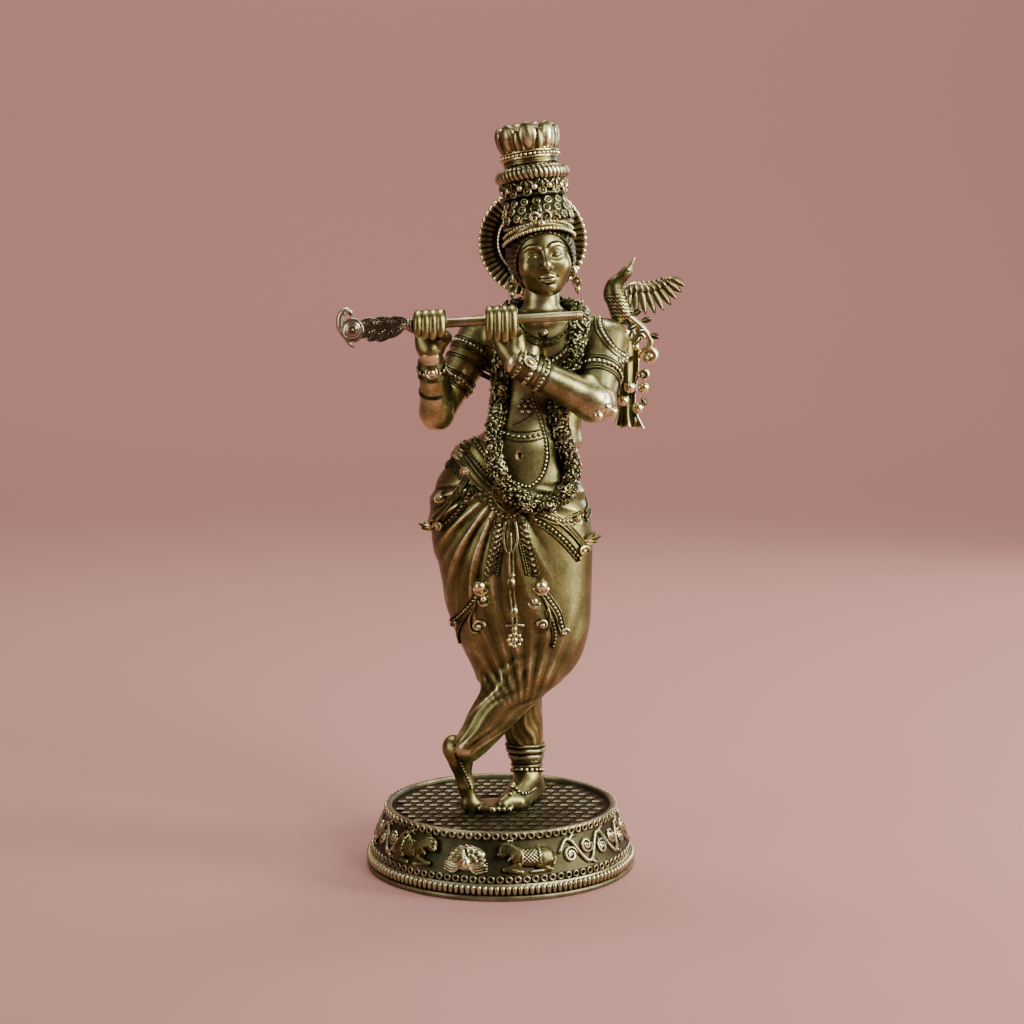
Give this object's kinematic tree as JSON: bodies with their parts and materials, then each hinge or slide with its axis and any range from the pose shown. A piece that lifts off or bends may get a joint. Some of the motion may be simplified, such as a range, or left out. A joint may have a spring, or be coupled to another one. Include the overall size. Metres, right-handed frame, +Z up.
{
  "type": "flute player statuette",
  "caption": "Cast brass statuette of a crossed-leg flute player in crown and garland on a round relief pedestal, with a flute that slides through the fists.",
  "frame": {"origin": "centre of the pedestal's rest rim, on the surface it stands on", "axes": "+Z up through the figure; -Y is the side the face looks towards; +X is the statue's left"},
  "size_m": [0.1511, 0.121, 0.3315],
  "materials": {
    "skin_brass": "antique, worn bright on the high spots",
    "drape_brass": "antique, dark in the folds",
    "trim_brass": "antique, dark in the recesses",
    "pedestal_brass": "antique, dark ground with bright reliefs",
    "flute_brass": "antique, rubbed",
    "fixings": "plain"
  },
  "bodies": {
    "statue": {"pedestal_shell": "pedestal_brass", "deck_plate": "pedestal_brass", "foot_rib_ring": "pedestal_brass", "lower_eyelet_course": "pedestal_brass", "upper_eyelet_course": "pedestal_brass", "peacock_relief": "pedestal_brass", "cow_reliefs": "pedestal_brass", "frieze_scrolls": "pedestal_brass", "foot_studs": "fixings", "foot_washers": "fixings", "foot_nuts": "fixings", "waist_dowel": "fixings", "neck_dowel": "fixings", "hips_dhoti": "drape_brass", "torso": "skin_brass", "left_shin_drape": "drape_brass", "right_shin_drape": "drape_brass", "left_foot": "skin_brass", "right_foot": "skin_brass", "ankle_cuffs": "trim_brass", "anklets": "trim_brass", "head": "skin_brass", "hair": "trim_brass", "crown_cap": "trim_brass", "crown_collar": "trim_brass", "crown_ring": "trim_brass", "crown_lotus": "trim_brass", "tiara": "trim_brass", "halo": "trim_brass", "halo_screw": "fixings", "earrings": "trim_brass", "right_upper_arm": "skin_brass", "right_forearm": "skin_brass", "right_hand": "skin_brass", "left_upper_arm": "skin_brass", "left_forearm": "skin_brass", "left_hand": "skin_brass", "garland": "trim_brass", "bracelets": "trim_brass", "elbow_beads": "trim_brass", "necklaces": "trim_brass", "sacred_thread": "trim_brass", "belly_chain": "trim_brass", "chest_flower": "trim_brass", "waist_belt": "trim_brass", "hip_swags": "trim_brass", "waist_loop": "trim_brass", "front_pendant": "trim_brass", "bead_chains": "trim_brass", "pendant_bosses": "trim_brass", "paisley_scrolls": "trim_brass", "shoulder_peacock": "trim_brass", "peacock_wing": "trim_brass", "shawl_end": "drape_brass", "peacock_tail": "trim_brass", "epaulettes": "trim_brass", "armlets": "trim_brass"},
    "flute": {"flute_tube": "flute_brass", "flute_finial": "flute_brass"}
  },
  "joints": [
    {"name": "flute_slide", "type": "slide", "parent": "statue", "child": "flute", "axis": [-0.9983, 0, -0.0582], "range_m": [0, 0.075]}
  ]
}
